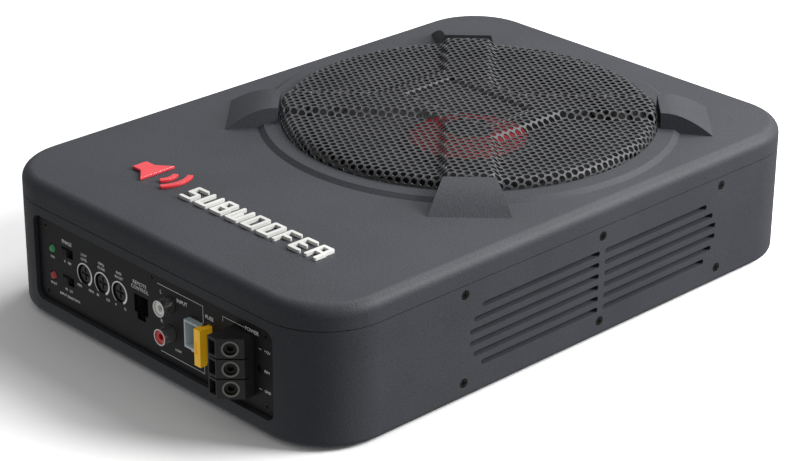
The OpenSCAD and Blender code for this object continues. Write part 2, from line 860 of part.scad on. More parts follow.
module rca_housing() {
  color(c_dark) placed() y_box(rca_x, (rca_zs[0] + rca_zs[1]) / 2, 12.6, 27, panel_back + 2, input_board_y);
}

module remote_port() {
  color(c_dark) placed() difference() {
    y_box(port_x, port_z - 1.2, 14, 15.8, panel_back + 0.05, input_board_y);
    translate([port_x, panel_back + 9, port_z]) rotate([90, 0, 0]) linear_extrude(12) port_outline(0);
    for (k = [-1.5:1:1.5]) y_box(port_x + 1.27 * k, port_z + 5, 0.7, 1.6, panel_back + 0.5, panel_back + 8);
  }
}

module port_contacts() {
  color(c_brass) placed() for (k = [-1.5:1:1.5])
    y_box(port_x + 1.27 * k, port_z + 5.05, 0.5, 1.2, panel_back + 0.8, panel_back + 7.6);
}

header_cols = [-0.5, 0.5];
header_rows = [-1, 0, 1];

module input_header() {
  color("#c9d2d6") placed() difference() {
    union() {
      y_box(header_x, header_z, header_w, header_h, panel_face - header_out, input_board_y);
      y_box(header_x, header_z - header_h / 2 - 0.85, 4, 1.9, panel_face - header_out + 1.4, panel_back);
    }
    y_box(header_x, header_z, header_w - 2, header_h - 2, panel_face - header_out - 1, panel_face + 6);
    for (c = header_cols, r = header_rows)
      y_box(header_x + c * header_pitch, header_z + r * header_pitch, 1.2, 1.2,
            panel_face + 5, panel_face + 13);
  }
}

module header_pins() {
  color(c_zinc) placed() for (c = header_cols, r = header_rows)
    y_box(header_x + c * header_pitch, header_z + r * header_pitch, 1.07, 1.07,
          panel_face + 2, panel_face + 12.5);
}

fuse_top = panel_face - fuse_out;
blade_zs = [fuse_z - 4.8, fuse_z + 4.8];

module fuse_body() {
  color("#e2b020") placed() difference() {
    union() {
      y_box(fuse_x, fuse_z, fuse_w, fuse_h, fuse_top, fuse_top + 4);
      y_box(fuse_x, fuse_z, fuse_w - 0.8, fuse_h - 1.6, fuse_top + 4 - eps, fuse_top + fuse_len);
    }
    y_box(fuse_x, fuse_z, fuse_w - 1.8, 6, fuse_top - 1, fuse_top + 0.6);
    for (z = blade_zs) y_box(fuse_x, z, 0.85, 5.3, fuse_top + 8, fuse_top + fuse_len + 1);
  }
}

module fuse_blades() {
  color(c_zinc) placed() for (z = blade_zs)
    y_box(fuse_x, z, 0.75, 5.2, fuse_top + 8.1, fuse_top + fuse_len + 6);
}

module fuse_holder() {
  color(c_dark) placed() difference() {
    y_box(fuse_x, fuse_z, fuse_w + 1.8, fuse_h + 2, panel_face, input_board_y);
    y_box(fuse_x, fuse_z, fuse_w + 0.6, fuse_h + 0.6, panel_face - 1, fuse_top + fuse_len + 0.4);
    for (z = blade_zs) y_box(fuse_x, z, 1.5, 5.9, panel_face, fuse_top + fuse_len + 6.6);
  }
}

module terminal_outline() {
  polygon([
    [term_x, panel_face], [term_x, term_face], [term_x + term_front, term_face],
    [term_x + term_w, term_face + term_slant], [term_x + term_w, panel_face]
  ]);
}

// Turns +Z into the direction that a set screw faces, out of the slanted side.
module at_screw(i) {
  translate([term_mid[0], term_mid[1], term_zs[i]]) rotate([0, 0, -45]) rotate([0, 90, 0]) children();
}

module terminal_block() {
  color(c_dark) placed() difference() {
    union() {
      translate([0, 0, term_z]) linear_extrude(3 * term_cell) terminal_outline();
      y_box(term_x + 7.4, term_z + 1.5 * term_cell, 11.8, 27.8, panel_face - eps, input_board_y);
    }
    for (i = [0:2]) {
      translate([wire_x, term_face - 1, term_zs[i] - wire_h / 2]) cube([wire_w, wire_depth + 1, wire_h]);
      at_screw(i) translate([0, 0, -9]) cylinder(r = 4.25, h = 12);
    }
    // grooves between the three cells
    for (i = [1, 2]) translate([0, 0, term_z + i * term_cell - 0.35]) difference() {
      linear_extrude(0.7) translate([term_x + 1.5, term_face - 1]) square([term_w, 13]);
      translate([0, 0, -1]) linear_extrude(3) translate([-0.9, 0.9]) terminal_outline();
    }
  }
}

module terminal_clamps() {
  color(c_zinc) placed() for (i = [0:2]) difference() {
    at_screw(i) ring_solid(4.15, set_screw_r + 0.08, -8.6, 0.1);
    translate([wire_x - 0.3, term_face - 1, term_zs[i] - wire_h / 2]) cube([wire_w + 0.3, 30, wire_h]);
  }
}

module terminal_screw(i) {
  placed() at_screw(i) translate([0, 0, -cup_depth - set_screw_len]) difference() {
    cylinder(r = set_screw_r, h = set_screw_len);
    translate([0, 0, set_screw_len - 2]) cylinder(r = 1.75, h = 3, $fn = 6);
  }
}

module terminal_screw_1() { color(c_steel) terminal_screw(0); }
module terminal_screw_2() { color(c_steel) terminal_screw(1); }
module terminal_screw_3() { color(c_steel) terminal_screw(2); }

// ---- badge ---------------------------------------------------------------------------------

// Loudspeaker pictogram: a small box with a horn and two sound waves.
module badge_emblem() {
  color(c_red) placed() translate([emblem_x, emblem_y, badge_z]) linear_extrude(badge_t) {
    polygon([[-19, -4.5], [-12.5, -4.5], [-4.5, -11], [-4.5, 11], [-12.5, 4.5], [-19, 4.5]]);
    for (r = [8.5, 16]) intersection() {
      difference() {
        translate([-3.5, 0]) circle(r + 1.5);
        translate([-3.5, 0]) circle(r - 1.5);
      }
      polygon([[-3.5, 0], [18, -16], [18, 16]]);
    }
  }
}

// Each letter is one or two lines through a box one unit wide and one unit high.
function letter_lines(c) =
  c == "S" ? [[[1, 1], [0, 1], [0, 0.5], [1, 0.5], [1, 0], [0, 0]]] :
  c == "U" ? [[[0, 1], [0, 0], [1, 0], [1, 1]]] :
  c == "B" ? [[[0, 0], [0, 1], [0.9, 1], [0.9, 0.6]], [[0.1, 0.5], [1, 0.5], [1, 0], [0, 0]]] :
  c == "W" ? [[[0, 1], [0, 0], [1, 0], [1, 1]], [[0.5, 0.1], [0.5, 0.6]]] :
  c == "O" ? [[[0, 0], [0, 1], [1, 1], [1, 0], [0, 0]]] :
  c == "F" ? [[[1, 1], [0, 1], [0, 0]], [[0.1, 0.5], [0.8, 0.5]]] :
  c == "E" ? [[[1, 1], [0, 1], [0, 0], [1, 0]], [[0.1, 0.5], [0.8, 0.5]]] :
             [[[0, 0], [0, 1], [0.9, 1], [0.9, 0.6]], [[0.1, 0.5], [1, 0.5], [1, 0]]];

module stroke(a, b) {
  run = b - a;
  translate(a) rotate(atan2(run[1], run[0])) translate([0, -letter_stroke / 2])
    square([norm(run), letter_stroke]);
}

module letter(c) {
  size = [letter_w - letter_stroke, letter_h - letter_stroke];
  for (line = letter_lines(c)) {
    pts = [for (p = line) [p[0] * size[0], p[1] * size[1]]];
    for (i = [0:len(pts) - 2]) stroke(pts[i], pts[i + 1]);
    for (p = pts) translate(p) circle(letter_stroke / 2, $fn = 32);
  }
}

module badge_letters() {
  word = "SUBWOOFER";
  color(c_white) placed() for (i = [0:len(word) - 1])
    translate([letters_x + letter_stroke / 2 + i * letter_pitch, letters_y + letter_stroke / 2, badge_z])
      linear_extrude(badge_t) letter(word[i]);
}

top_cover();
lower_shell();
cover_gasket();
rubber_feet();
side_screws();
vent_screen();
control_panel();
panel_screws();
speaker_grille();
driver_gasket();
driver_basket();
driver_screws();
surround();
cone();
dust_cap();
dust_cap_ring();
spider();
voice_coil();
top_plate();
magnet();
yoke();
driver_terminal();
speaker_leads();
circuit_board();
board_screws();
input_board();
heat_sink();
power_transistors();
capacitors();
choke();
transformer();
level_knob();
filter_knob();
bass_knob();
potentiometers();
phase_slider();
input_slider();
switch_bodies();
power_led();
protect_led();
rca_shells();
rca_insulator_white();
rca_insulator_red();
rca_housing();
remote_port();
port_contacts();
input_header();
header_pins();
fuse_body();
fuse_blades();
fuse_holder();
terminal_block();
terminal_clamps();
terminal_screw_1();
terminal_screw_2();
terminal_screw_3();
badge_emblem();
badge_letters();
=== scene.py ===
"""Powered under-seat car subwoofer: the looks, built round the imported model."""

import json
import logging
import math
from dataclasses import dataclass
from enum import Enum

import bmesh
import bpy
import numpy as np
from mathutils import Matrix, Vector


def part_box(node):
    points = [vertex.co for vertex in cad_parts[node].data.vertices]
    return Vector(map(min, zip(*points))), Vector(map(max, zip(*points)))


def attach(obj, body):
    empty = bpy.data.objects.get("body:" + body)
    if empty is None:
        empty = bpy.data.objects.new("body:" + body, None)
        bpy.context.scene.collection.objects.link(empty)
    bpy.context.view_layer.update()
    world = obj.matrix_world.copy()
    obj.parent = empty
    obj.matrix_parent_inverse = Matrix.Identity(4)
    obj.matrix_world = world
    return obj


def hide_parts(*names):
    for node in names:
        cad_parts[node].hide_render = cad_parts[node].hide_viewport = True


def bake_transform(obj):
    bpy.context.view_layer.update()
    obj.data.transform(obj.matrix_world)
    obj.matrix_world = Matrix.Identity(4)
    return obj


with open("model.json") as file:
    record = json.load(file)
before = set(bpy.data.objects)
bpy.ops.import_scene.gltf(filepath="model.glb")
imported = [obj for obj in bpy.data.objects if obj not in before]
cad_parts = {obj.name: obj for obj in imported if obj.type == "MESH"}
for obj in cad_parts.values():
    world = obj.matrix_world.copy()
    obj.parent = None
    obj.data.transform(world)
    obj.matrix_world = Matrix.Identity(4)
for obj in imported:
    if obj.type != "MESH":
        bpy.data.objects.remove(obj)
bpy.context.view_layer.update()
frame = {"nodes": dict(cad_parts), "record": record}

MM = 0.001
CLEARANCE = 0.05 * MM
LOG = logging.getLogger("subwoofer")
Colour = tuple[float, float, float]


# ---- shader maths --------------------------------------------------------------------------


class Value:
    """A number that changes over a surface, written like a Python number."""

    def __init__(self, tree: "Tree", socket: bpy.types.NodeSocket) -> None:
        """Wraps one output socket of a tree."""
        self.tree = tree
        self.socket = socket

    def math(self, operation: str, *others: "Value | float") -> "Value":
        """This value put through a Math node with the others after it."""
        return self.tree.math(operation, self, *others)

    def __add__(self, other: "Value | float") -> "Value":
        """This value plus another."""
        return self.tree.math("ADD", self, other)

    def __radd__(self, other: float) -> "Value":
        """A number plus this value."""
        return self.tree.math("ADD", other, self)

    def __sub__(self, other: "Value | float") -> "Value":
        """This value less another."""
        return self.tree.math("SUBTRACT", self, other)

    def __rsub__(self, other: float) -> "Value":
        """A number less this value."""
        return self.tree.math("SUBTRACT", other, self)

    def __mul__(self, other: "Value | float") -> "Value":
        """This value times another."""
        return self.tree.math("MULTIPLY", self, other)

    def __rmul__(self, other: float) -> "Value":
        """A number times this value."""
        return self.tree.math("MULTIPLY", other, self)

    def __truediv__(self, other: "Value | float") -> "Value":
        """This value over another."""
        return self.tree.math("DIVIDE", self, other)


Feed = "Value | bpy.types.NodeSocket | float | tuple"


class Tree:
    """One material's node tree."""

    def __init__(self, name: str) -> None:
        """Starts a material that holds a Principled shader and its output."""
        self.material = bpy.data.materials.new(name)
        self.material.use_nodes = True
        self.nodes = self.material.node_tree.nodes
        self.links = self.material.node_tree.links
        self.shader = self.nodes["Principled BSDF"]
        self.place = self.node("ShaderNodeTexCoord", {}, {}).outputs["Object"]

    def node(self, kind: str, settings: dict, inputs: dict) -> bpy.types.Node:
        """Adds any node.

        Args:
            kind: The node's type.
            settings: Its properties, by name.
            inputs: Values or links for its sockets, by name or number.

        Returns:
            The new node.
        """
        made = self.nodes.new(kind)
        for name, setting in settings.items():
            setattr(made, name, setting)
        for key, value in inputs.items():
            self.feed(made.inputs[key], value)
        return made

    def feed(self, socket: bpy.types.NodeSocket, value: Feed) -> None:
        """Links a value to a socket, or sets it there if it is plain."""
        if isinstance(value, Value):
            self.links.new(value.socket, socket)
        elif isinstance(value, bpy.types.NodeSocket):
            self.links.new(value, socket)
        elif isinstance(value, tuple) and len(value) == 3 and len(socket.default_value) == 4:
            socket.default_value = (*value, 1.0)
        else:
            socket.default_value = value

    def math(self, operation: str, *values: "Value | float") -> Value:
        """One Math node on numbers or values."""
        made = self.node("ShaderNodeMath", {"operation": operation}, dict(enumerate(values)))
        return Value(self, made.outputs[0])

    def scaled(self, x: float, y: float, z: float) -> bpy.types.NodeSocket:
        """The object's coordinates, stretched by a factor for each axis."""
        return self.node("ShaderNodeMapping", {}, {"Vector": self.place, "Scale": (x, y, z)}).outputs[0]

    def axis(self, letter: str) -> Value:
        """One of the object's coordinates, in metres."""
        return Value(self, self.node("ShaderNodeSeparateXYZ", {}, {0: self.place}).outputs[letter])

    def noise(self, size: float, detail: float = 2.0, place: Feed = None) -> Value:
        """Cloudy noise from 0 to 1 whose blots are about the given size in metres."""
        where = self.place if place is None else place
        made = self.node("ShaderNodeTexNoise", {}, {"Vector": where, "Scale": 1.0 / size, "Detail": detail})
        return Value(self, made.outputs[0])

    def cells(self, size: float, feature: str = "F1") -> Value:
        """Distance to the nearest of scattered points about one size apart."""
        settings = {"feature": feature}
        made = self.node("ShaderNodeTexVoronoi", settings, {"Vector": self.place, "Scale": 1.0 / size})
        return Value(self, made.outputs["Distance"])

    def step(self, value: Value, low: float, high: float) -> Value:
        """0 below low, 1 above high, and smooth between."""
        inputs = {"Value": value, "From Min": low, "From Max": high}
        made = self.node("ShaderNodeMapRange", {"interpolation_type": "SMOOTHSTEP"}, inputs)
        return Value(self, made.outputs[0])

    def mix(self, factor: Feed, a: Feed, b: Feed) -> bpy.types.NodeSocket:
        """Colour a where the factor is 0 and colour b where it is 1."""
        made = self.node("ShaderNodeMix", {"data_type": "RGBA"}, {0: factor, 6: a, 7: b})
        return made.outputs[2]

    def bump(self, height: Value, depth: float) -> None:
        """Embosses the surface: height 1 stands depth metres over height 0."""
        inputs = {"Height": height, "Distance": depth, "Strength": 1.0}
        self.feed(self.shader.inputs["Normal"], self.node("ShaderNodeBump", {}, inputs).outputs[0])

    def set(self, **inputs: Feed) -> None:
        """Sets or feeds the shader's sockets, named with _ for a space."""
        for name, value in inputs.items():
            self.feed(self.shader.inputs[name.replace("_", " ")], value)


def shade(colour: Colour, factor: float) -> Colour:
    """A lighter or darker colour of the same hue."""
    return tuple(min(1.0, channel * factor) for channel in colour)


# ---- finishes ------------------------------------------------------------------------------


@dataclass(frozen=True)
class Finish:
    """A plain painted or moulded finish, slightly cloudy in colour and gloss."""

    colour: Colour
    roughness: float = 0.4
    grain: float = 0.6 * MM
    depth: float = 0.01 * MM
    cloud: float = 30 * MM
    variety: float = 0.12
    shine: float = 0.5

    def clouds(self, tree: Tree) -> Value:
        """Slow, weak change over the whole piece, as from handling and dust."""
        return tree.step(tree.noise(self.cloud, 4.0), 0.3, 0.7)

    def paint(self, tree: Tree) -> None:
        """Sets the shader's colour, gloss and grain."""
        clouds = self.clouds(tree)
        low, high = shade(self.colour, 1 - self.variety), shade(self.colour, 1 + self.variety)
        tree.set(Base_Color=tree.mix(clouds, low, high))
        fine = tree.noise(self.grain)
        tree.set(Roughness=self.roughness + 0.12 * (fine - 0.5) + 0.06 * (clouds - 0.5))
        tree.bump(fine, self.depth)

    def material(self, name: str) -> bpy.types.Material:
        """The finish as a material."""
        tree = Tree(name)
        tree.set(Specular_IOR_Level=self.shine)
        self.paint(tree)
        return tree.material


@dataclass(frozen=True)
class SandPaint(Finish):
    """Powder coat with a fine sand texture, with a painted highlight on each grain's top."""

    painted_grain_highlight: float = 0.35

    def paint(self, tree: Tree) -> None:
        """Adds raised grains whose tops get a painted highlight, over slow clouds of wear."""
        clouds = self.clouds(tree)
        grains = 1 - tree.step(tree.cells(self.grain), 0.15, 0.85)
        coarse = tree.noise(self.grain * 3.0, 3.0)
        tops = grains * (0.6 + 0.8 * (coarse - 0.5))
        base = tree.mix(clouds, shade(self.colour, 1 - self.variety), shade(self.colour, 1 + self.variety))
        # painted highlight: the grain tops are lightened towards a brighter copy of the colour
        tree.set(Base_Color=tree.mix(tops * self.painted_grain_highlight, base, shade(self.colour, 2.2)))
        tree.set(Roughness=self.roughness + 0.1 * (coarse - 0.5) - 0.08 * tops)
        tree.bump(tops + 0.5 * coarse, self.depth)


@dataclass(frozen=True)
class GlossMoulding(Finish):
    """Gloss plastic with a faint flow pattern under a clear surface."""

    coat: float = 0.6
    coat_roughness: float = 0.08

    def paint(self, tree: Tree) -> None:
        """Adds a clear coat over the plain finish."""
        super().paint(tree)
        tree.set(Coat_Weight=self.coat)
        tree.set(Coat_Roughness=self.coat_roughness)


@dataclass(frozen=True)
class Metal(Finish):
    """Bare or plated metal with fine scratches along one axis."""

    along: tuple[float, float, float] = (1.0, 1.0, 1.0)

    def paint(self, tree: Tree) -> None:
        """Sets a metallic surface that scratches and tarnish roughen."""
        clouds = self.clouds(tree)
        scratches = tree.noise(self.grain, 3.0, tree.scaled(*self.along))
        tree.set(Base_Color=tree.mix(clouds, shade(self.colour, 1 - self.variety), self.colour))
        tree.set(Metallic=1.0)
        tree.set(Roughness=self.roughness + 0.2 * (scratches - 0.5) + 0.1 * (clouds - 0.5))
        tree.bump(scratches, self.depth)


@dataclass(frozen=True)
class TintedPlastic(Finish):
    """Clear or milky plastic that lets some light through."""

    clearness: float = 0.4
    painted_glow: float = 0.0
    refraction: float = 1.49
    coat: float = 0.5

    def paint(self, tree: Tree) -> None:
        """Adds transmission, a painted glow (emission) standing in for light scattered inside, and a clear
        surface.
        """
        super().paint(tree)
        tree.set(Transmission_Weight=self.clearness)
        tree.set(IOR=self.refraction)
        tree.set(Coat_Weight=self.coat)
        # painted light: the plastic emits its own colour as if lit from inside
        tree.set(Emission_Color=(*self.colour, 1.0))
        tree.set(Emission_Strength=self.painted_glow)


@dataclass(frozen=True)
class BoardMask(Finish):
    """Solder mask over copper tracks, with bright pads."""

    track: float = 2.2 * MM
    solder: Colour = (0.62, 0.6, 0.55)

    def paint(self, tree: Tree) -> None:
        """Draws tracks as the borders of a grid of crooked cells, and pads at their middles."""
        borders = tree.cells(self.track * 3.0, "DISTANCE_TO_EDGE")
        tracks = 1 - tree.step(borders, 0.05, 0.1)
        pads = 1 - tree.step(tree.cells(self.track * 2.0), 0.12, 0.16)
        green = tree.mix(tracks, self.colour, shade(self.colour, 1.8))
        tree.set(Base_Color=tree.mix(pads, green, self.solder))
        tree.set(Metallic=pads * 0.9)
        tree.set(Roughness=self.roughness - 0.1 * pads + 0.1 * (self.clouds(tree) - 0.5))
        tree.bump(tracks + pads, self.depth)


@dataclass(frozen=True)
class Woven(Finish):
    """Cloth or wound wire: threads crossing, or turns lying side by side."""

    turns: tuple[float, float, float] = (1.0, 1.0, 0.0)

    def paint(self, tree: Tree) -> None:
        """Lays threads a grain apart along each axis that is named, with painted shade in the dips between
        them.
        """
        height: Value | float = 0.0
        for letter, weight in zip("XYZ", self.turns):
            if weight:
                wave = (tree.axis(letter) * (math.tau / self.grain)).math("SINE")
                height = height + weight * (0.5 + 0.5 * wave)
        level = height / max(1.0, sum(self.turns))
        # painted shade: the dips between threads and turns are darkened to under half the colour
        tree.set(Base_Color=tree.mix(level, shade(self.colour, 0.45), self.colour))
        tree.set(Roughness=self.roughness + 0.15 * (self.clouds(tree) - 0.5))
        tree.bump(level, self.depth)


@dataclass(frozen=True)
class WoundMetal(Woven):
    """Enamelled wire, wound close."""

    def paint(self, tree: Tree) -> None:
        """Makes the turns metallic."""
        super().paint(tree)
        tree.set(Metallic=1.0)


BLACK: Colour = (0.022, 0.022, 0.024)

FINISHES: dict[str, Finish] = {
    "shell": SandPaint((0.03, 0.032, 0.0375), 0.6, 0.7 * MM, 0.07 * MM, 60 * MM, 0.1, 0.22),
    "panel": Finish((0.0075, 0.0078, 0.0085), 0.45, 0.5 * MM, 0.008 * MM, shine=0.2),
    "black_screw": Metal((0.035, 0.034, 0.032), 0.38, 0.3 * MM, 0.005 * MM),
    "grille": Finish((0.042, 0.043, 0.046), 0.5, 0.5 * MM, 0.012 * MM, shine=0.35),
    "basket": Finish((0.008, 0.008, 0.0085), 0.5, 0.8 * MM, 0.01 * MM, shine=0.3),
    "rubber": Finish((0.007, 0.007, 0.007), 0.7, 0.4 * MM, 0.01 * MM, shine=0.2),
    "cone": Finish((0.006, 0.006, 0.0065), 0.6, 1.2 * MM, 0.03 * MM, shine=0.2),
    "red_print": Finish((0.2, 0.008, 0.012), 0.55, 0.5 * MM, 0.01 * MM, shine=0.25),
    "spider": Woven((0.45, 0.31, 0.12), 0.8, 0.9 * MM, 0.1 * MM),
    "copper": WoundMetal((0.72, 0.34, 0.16), 0.3, 1.1 * MM, 0.2 * MM, turns=(0.0, 0.0, 1.0)),
    "steel": Metal((0.2, 0.2, 0.185), 0.25, 0.4 * MM, 0.004 * MM, along=(1.0, 1.0, 8.0)),
    "zinc": Metal((0.78, 0.78, 0.76), 0.26, 0.4 * MM, 0.003 * MM, along=(1.0, 6.0, 1.0)),
    "ferrite": Finish((0.045, 0.045, 0.048), 0.6, 1.5 * MM, 0.04 * MM),
    "board": BoardMask((0.02, 0.13, 0.05), 0.32, 0.5 * MM, 0.03 * MM),
    "phenolic": Finish((0.2, 0.1, 0.045), 0.5, 0.5 * MM, 0.01 * MM),
    "wire": Finish((0.03, 0.03, 0.03), 0.4, 0.5 * MM, 0.01 * MM),
    "sink": Metal((0.56, 0.57, 0.59), 0.38, 0.5 * MM, 0.01 * MM, along=(1.0, 0.08, 1.0)),
    "black_plastic": Finish(BLACK, 0.4, 0.4 * MM, 0.008 * MM, shine=0.3),
    "can": GlossMoulding((0.03, 0.05, 0.16), 0.3, 0.6 * MM, 0.006 * MM),
    "grey_plastic": Finish((0.02, 0.02, 0.022), 0.45, 0.5 * MM, 0.01 * MM, shine=0.3),
    "led_green": TintedPlastic((0.02, 0.42, 0.12), 0.2, 0.8 * MM, 0.004 * MM),
    "led_red": TintedPlastic((0.6, 0.02, 0.03), 0.2, 0.8 * MM, 0.004 * MM),
    "white_plastic": GlossMoulding((0.82, 0.82, 0.78), 0.32, 0.6 * MM, 0.005 * MM),
    "red_plastic": GlossMoulding((0.6, 0.015, 0.02), 0.3, 0.6 * MM, 0.005 * MM),
    "natural_nylon": TintedPlastic((0.6, 0.7, 0.75), 0.3, 0.8 * MM, 0.008 * MM, clearness=0.25),
    "gold": Metal((0.85, 0.63, 0.26), 0.22, 0.3 * MM, 0.002 * MM),
    "yellow_plastic": TintedPlastic((0.95, 0.5, 0.01), 0.35, 0.8 * MM, 0.006 * MM, clearness=0.0, painted_glow=0.13),
    "badge_red": GlossMoulding((0.58, 0.03, 0.04), 0.3, 0.8 * MM, 0.004 * MM),
    "badge_white": GlossMoulding((0.58, 0.58, 0.56), 0.3, 0.8 * MM, 0.004 * MM),
    "white_print": Finish((0.78, 0.78, 0.78), 0.5, 0.3 * MM, 0.004 * MM),
}


class Paintbox:
    """Makes each finish once, under its slot's name."""

    def __init__(self) -> None:
        """Starts with no material made."""
        self.made: dict[str, bpy.types.Material] = {}

    def material(self, slot: str) -> bpy.types.Material:
        """The material of a slot."""
        if slot not in self.made:
            self.made[slot] = FINISHES[slot].material(slot)
        return self.made[slot]

    def dress(self, piece: bpy.types.Object, slot: str) -> None:
        """Gives a piece one finish all over."""
        piece.data.materials.clear()
        piece.data.materials.append(self.material(slot))

    def dress_nodes(self) -> None:
        """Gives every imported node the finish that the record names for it."""
        for part in frame["record"]["subparts"]:
            self.dress(frame["nodes"][part["node"]], part["material_slot"])


# ---- the bench -----------------------------------------------------------------------------


class Bench:
    """The hand operations that the pieces are made with."""

    ring_weld = 0.005 * MM
    copy_weld = 0.002 * MM
    flat_within = math.radians(0.5)

    @staticmethod
    def pick(*pieces: bpy.types.Object) -> None:
        """Selects these pieces and nothing else, the last one active."""
        bpy.ops.object.select_all(action="DESELECT")
        for piece in pieces:
            piece.select_set(True)
            bpy.context.view_layer.objects.active = piece

    @staticmethod
    def named(name: str) -> bpy.types.Object:
        """Names the active object and its mesh."""
        piece = bpy.context.active_object
        piece.name = name
        piece.data.name = name
        return piece

    @classmethod
    def apply(cls, piece: bpy.types.Object, kind: str, **settings: object) -> None:
        """Adds a modifier with these settings and applies it."""
        cls.pick(piece)
        modifier = piece.modifiers.new(kind.lower(), kind)
        for name, setting in settings.items():
            setattr(modifier, name, setting)
        bpy.ops.object.modifier_apply(modifier=modifier.name)

    @classmethod
    def smooth(cls, piece: bpy.types.Object, degrees: float = 30.0) -> None:
        """Shades a piece smooth, with edges sharper than the angle kept."""
        cls.pick(piece)
        bpy.ops.object.shade_smooth_by_angle(angle=math.radians(degrees))

    @classmethod
    def settle(cls, piece: bpy.types.Object) -> None:
        """Puts the place, turn and scale of a piece into its mesh."""
        cls.pick(piece)
        bpy.ops.object.transform_apply(location=True, rotation=True, scale=True)

    @classmethod
    def joined(cls, pieces: list[bpy.types.Object], name: str) -> bpy.types.Object:
        """Joins pieces into one, and names it."""
        cls.pick(*pieces)
        bpy.ops.object.join()
        return cls.named(name)

    @classmethod
    def turned(cls, name: str, profile: list[tuple[float, float]], axis: Vector,
               steps: int) -> bpy.types.Object:
        """A ring turned from a closed profile round an upright axis.

        Args:
            name: The new piece's name.
            profile: Its outline, as (radius, height) pairs.
            axis: A point on the axis.
            steps: How many sections make the whole turn.

        Returns:
            The new piece.
        """
        data = bpy.data.meshes.new(name)
        count = len(profile)
        data.from_pydata([(axis.x + r, axis.y, z) for r, z in profile],
                         [(i, (i + 1) % count) for i in range(count)], [])
        piece = bpy.data.objects.new(name, data)
        bpy.context.scene.collection.objects.link(piece)
        cls.pick(piece)
        bpy.ops.object.mode_set(mode="EDIT")
        bpy.ops.mesh.select_all(action="SELECT")
        bpy.ops.mesh.spin(steps=steps, angle=math.tau, center=axis, axis=(0.0, 0.0, 1.0))
        bpy.ops.mesh.select_all(action="SELECT")
        bpy.ops.mesh.remove_doubles(threshold=cls.ring_weld)
        bpy.ops.mesh.normals_make_consistent(inside=False)
        bpy.ops.object.mode_set(mode="OBJECT")
        return piece

    @classmethod
    def merged_copy(cls, node: str, name: str) -> bpy.types.Object:
        """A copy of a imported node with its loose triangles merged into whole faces."""
        piece = bpy.data.objects.new(name, frame["nodes"][node].data.copy())
        bpy.context.scene.collection.objects.link(piece)
        piece.data.name = name
        cls.pick(piece)
        bpy.ops.object.mode_set(mode="EDIT")
        bpy.ops.mesh.select_all(action="SELECT")
        bpy.ops.mesh.customdata_custom_splitnormals_clear()
        bpy.ops.mesh.remove_doubles(threshold=cls.copy_weld)
        bpy.ops.mesh.dissolve_limited(angle_limit=cls.flat_within)
        bpy.ops.object.mode_set(mode="OBJECT")
        return piece

    @classmethod
    def softened(cls, node: str, name: str, width: float, edge: float = 35.0) -> bpy.types.Object:
        """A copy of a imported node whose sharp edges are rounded, as moulding leaves them.

        Args:
            node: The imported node, which the copy replaces.
            name: The new piece's name.
            width: The rounding's width in metres.
            edge: Edges that turn less than this many degrees stay.

        Returns:
            The new piece.
        """
        piece = cls.merged_copy(node, name)
        cls.apply(piece, "BEVEL", width=width, segments=2, limit_method="ANGLE",
                  angle_limit=math.radians(edge), use_clamp_overlap=True)
        cls.smooth(piece)
        cls.apply(piece, "WEIGHTED_NORMAL", mode="FACE_AREA", weight=100, keep_sharp=True)
        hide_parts(node)
        return piece


@dataclass
class Assembly:
    """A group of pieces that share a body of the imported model."""

    paint: Paintbox
    body: str = "case"

    def keep(self, piece: bpy.types.Object, slot: str, body: str | None = None) -> bpy.types.Object:
        """Dresses a finished piece and lets it ride on its body.

        Args:
            piece: The finished piece.
            slot: The material slot that it takes its finish from.
            body: The body, when it isn't the assembly's own.

        Returns:
            The piece.
        """
        self.paint.dress(piece, slot)
        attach(piece, body or self.body)
        LOG.info("%s: %d faces", piece.name, len(piece.data.polygons))
        return piece

    def soften(self, node: str, width: float, edge: float = 35.0) -> bpy.types.Object:
        """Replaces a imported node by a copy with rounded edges, on the same body and in the same finish."""
        part = next(p for p in frame["record"]["subparts"] if p["node"] == node)
        bodies = frame["record"]["behaviour"]["bodies"]
        body = next(name for name, nodes in bodies.items() if node in nodes)
        piece = Bench.softened(node, node + "_moulded", width, edge)
        return self.keep(piece, part["material_slot"], body)


# ---- studio --------------------------------------------------------------------------------


@dataclass(frozen=True)
class SoftLight:
    """One round soft light that hangs at a place counted from its aim."""

    name: str
    place: tuple[float, float, float]
    size: float
    power: float

    def build(self, aim: Vector) -> None:
        """Hangs the light and turns it to the aim."""
        lamp = bpy.data.lights.new(self.name, "AREA")
        lamp.shape = "DISK"
        lamp.size = self.size
        lamp.energy = self.power
        light = bpy.data.objects.new(self.name, lamp)
        light.location = aim + Vector(self.place)
        light.rotation_euler = (-Vector(self.place)).to_track_quat("-Z", "Y").to_euler()
        bpy.context.scene.collection.objects.link(light)


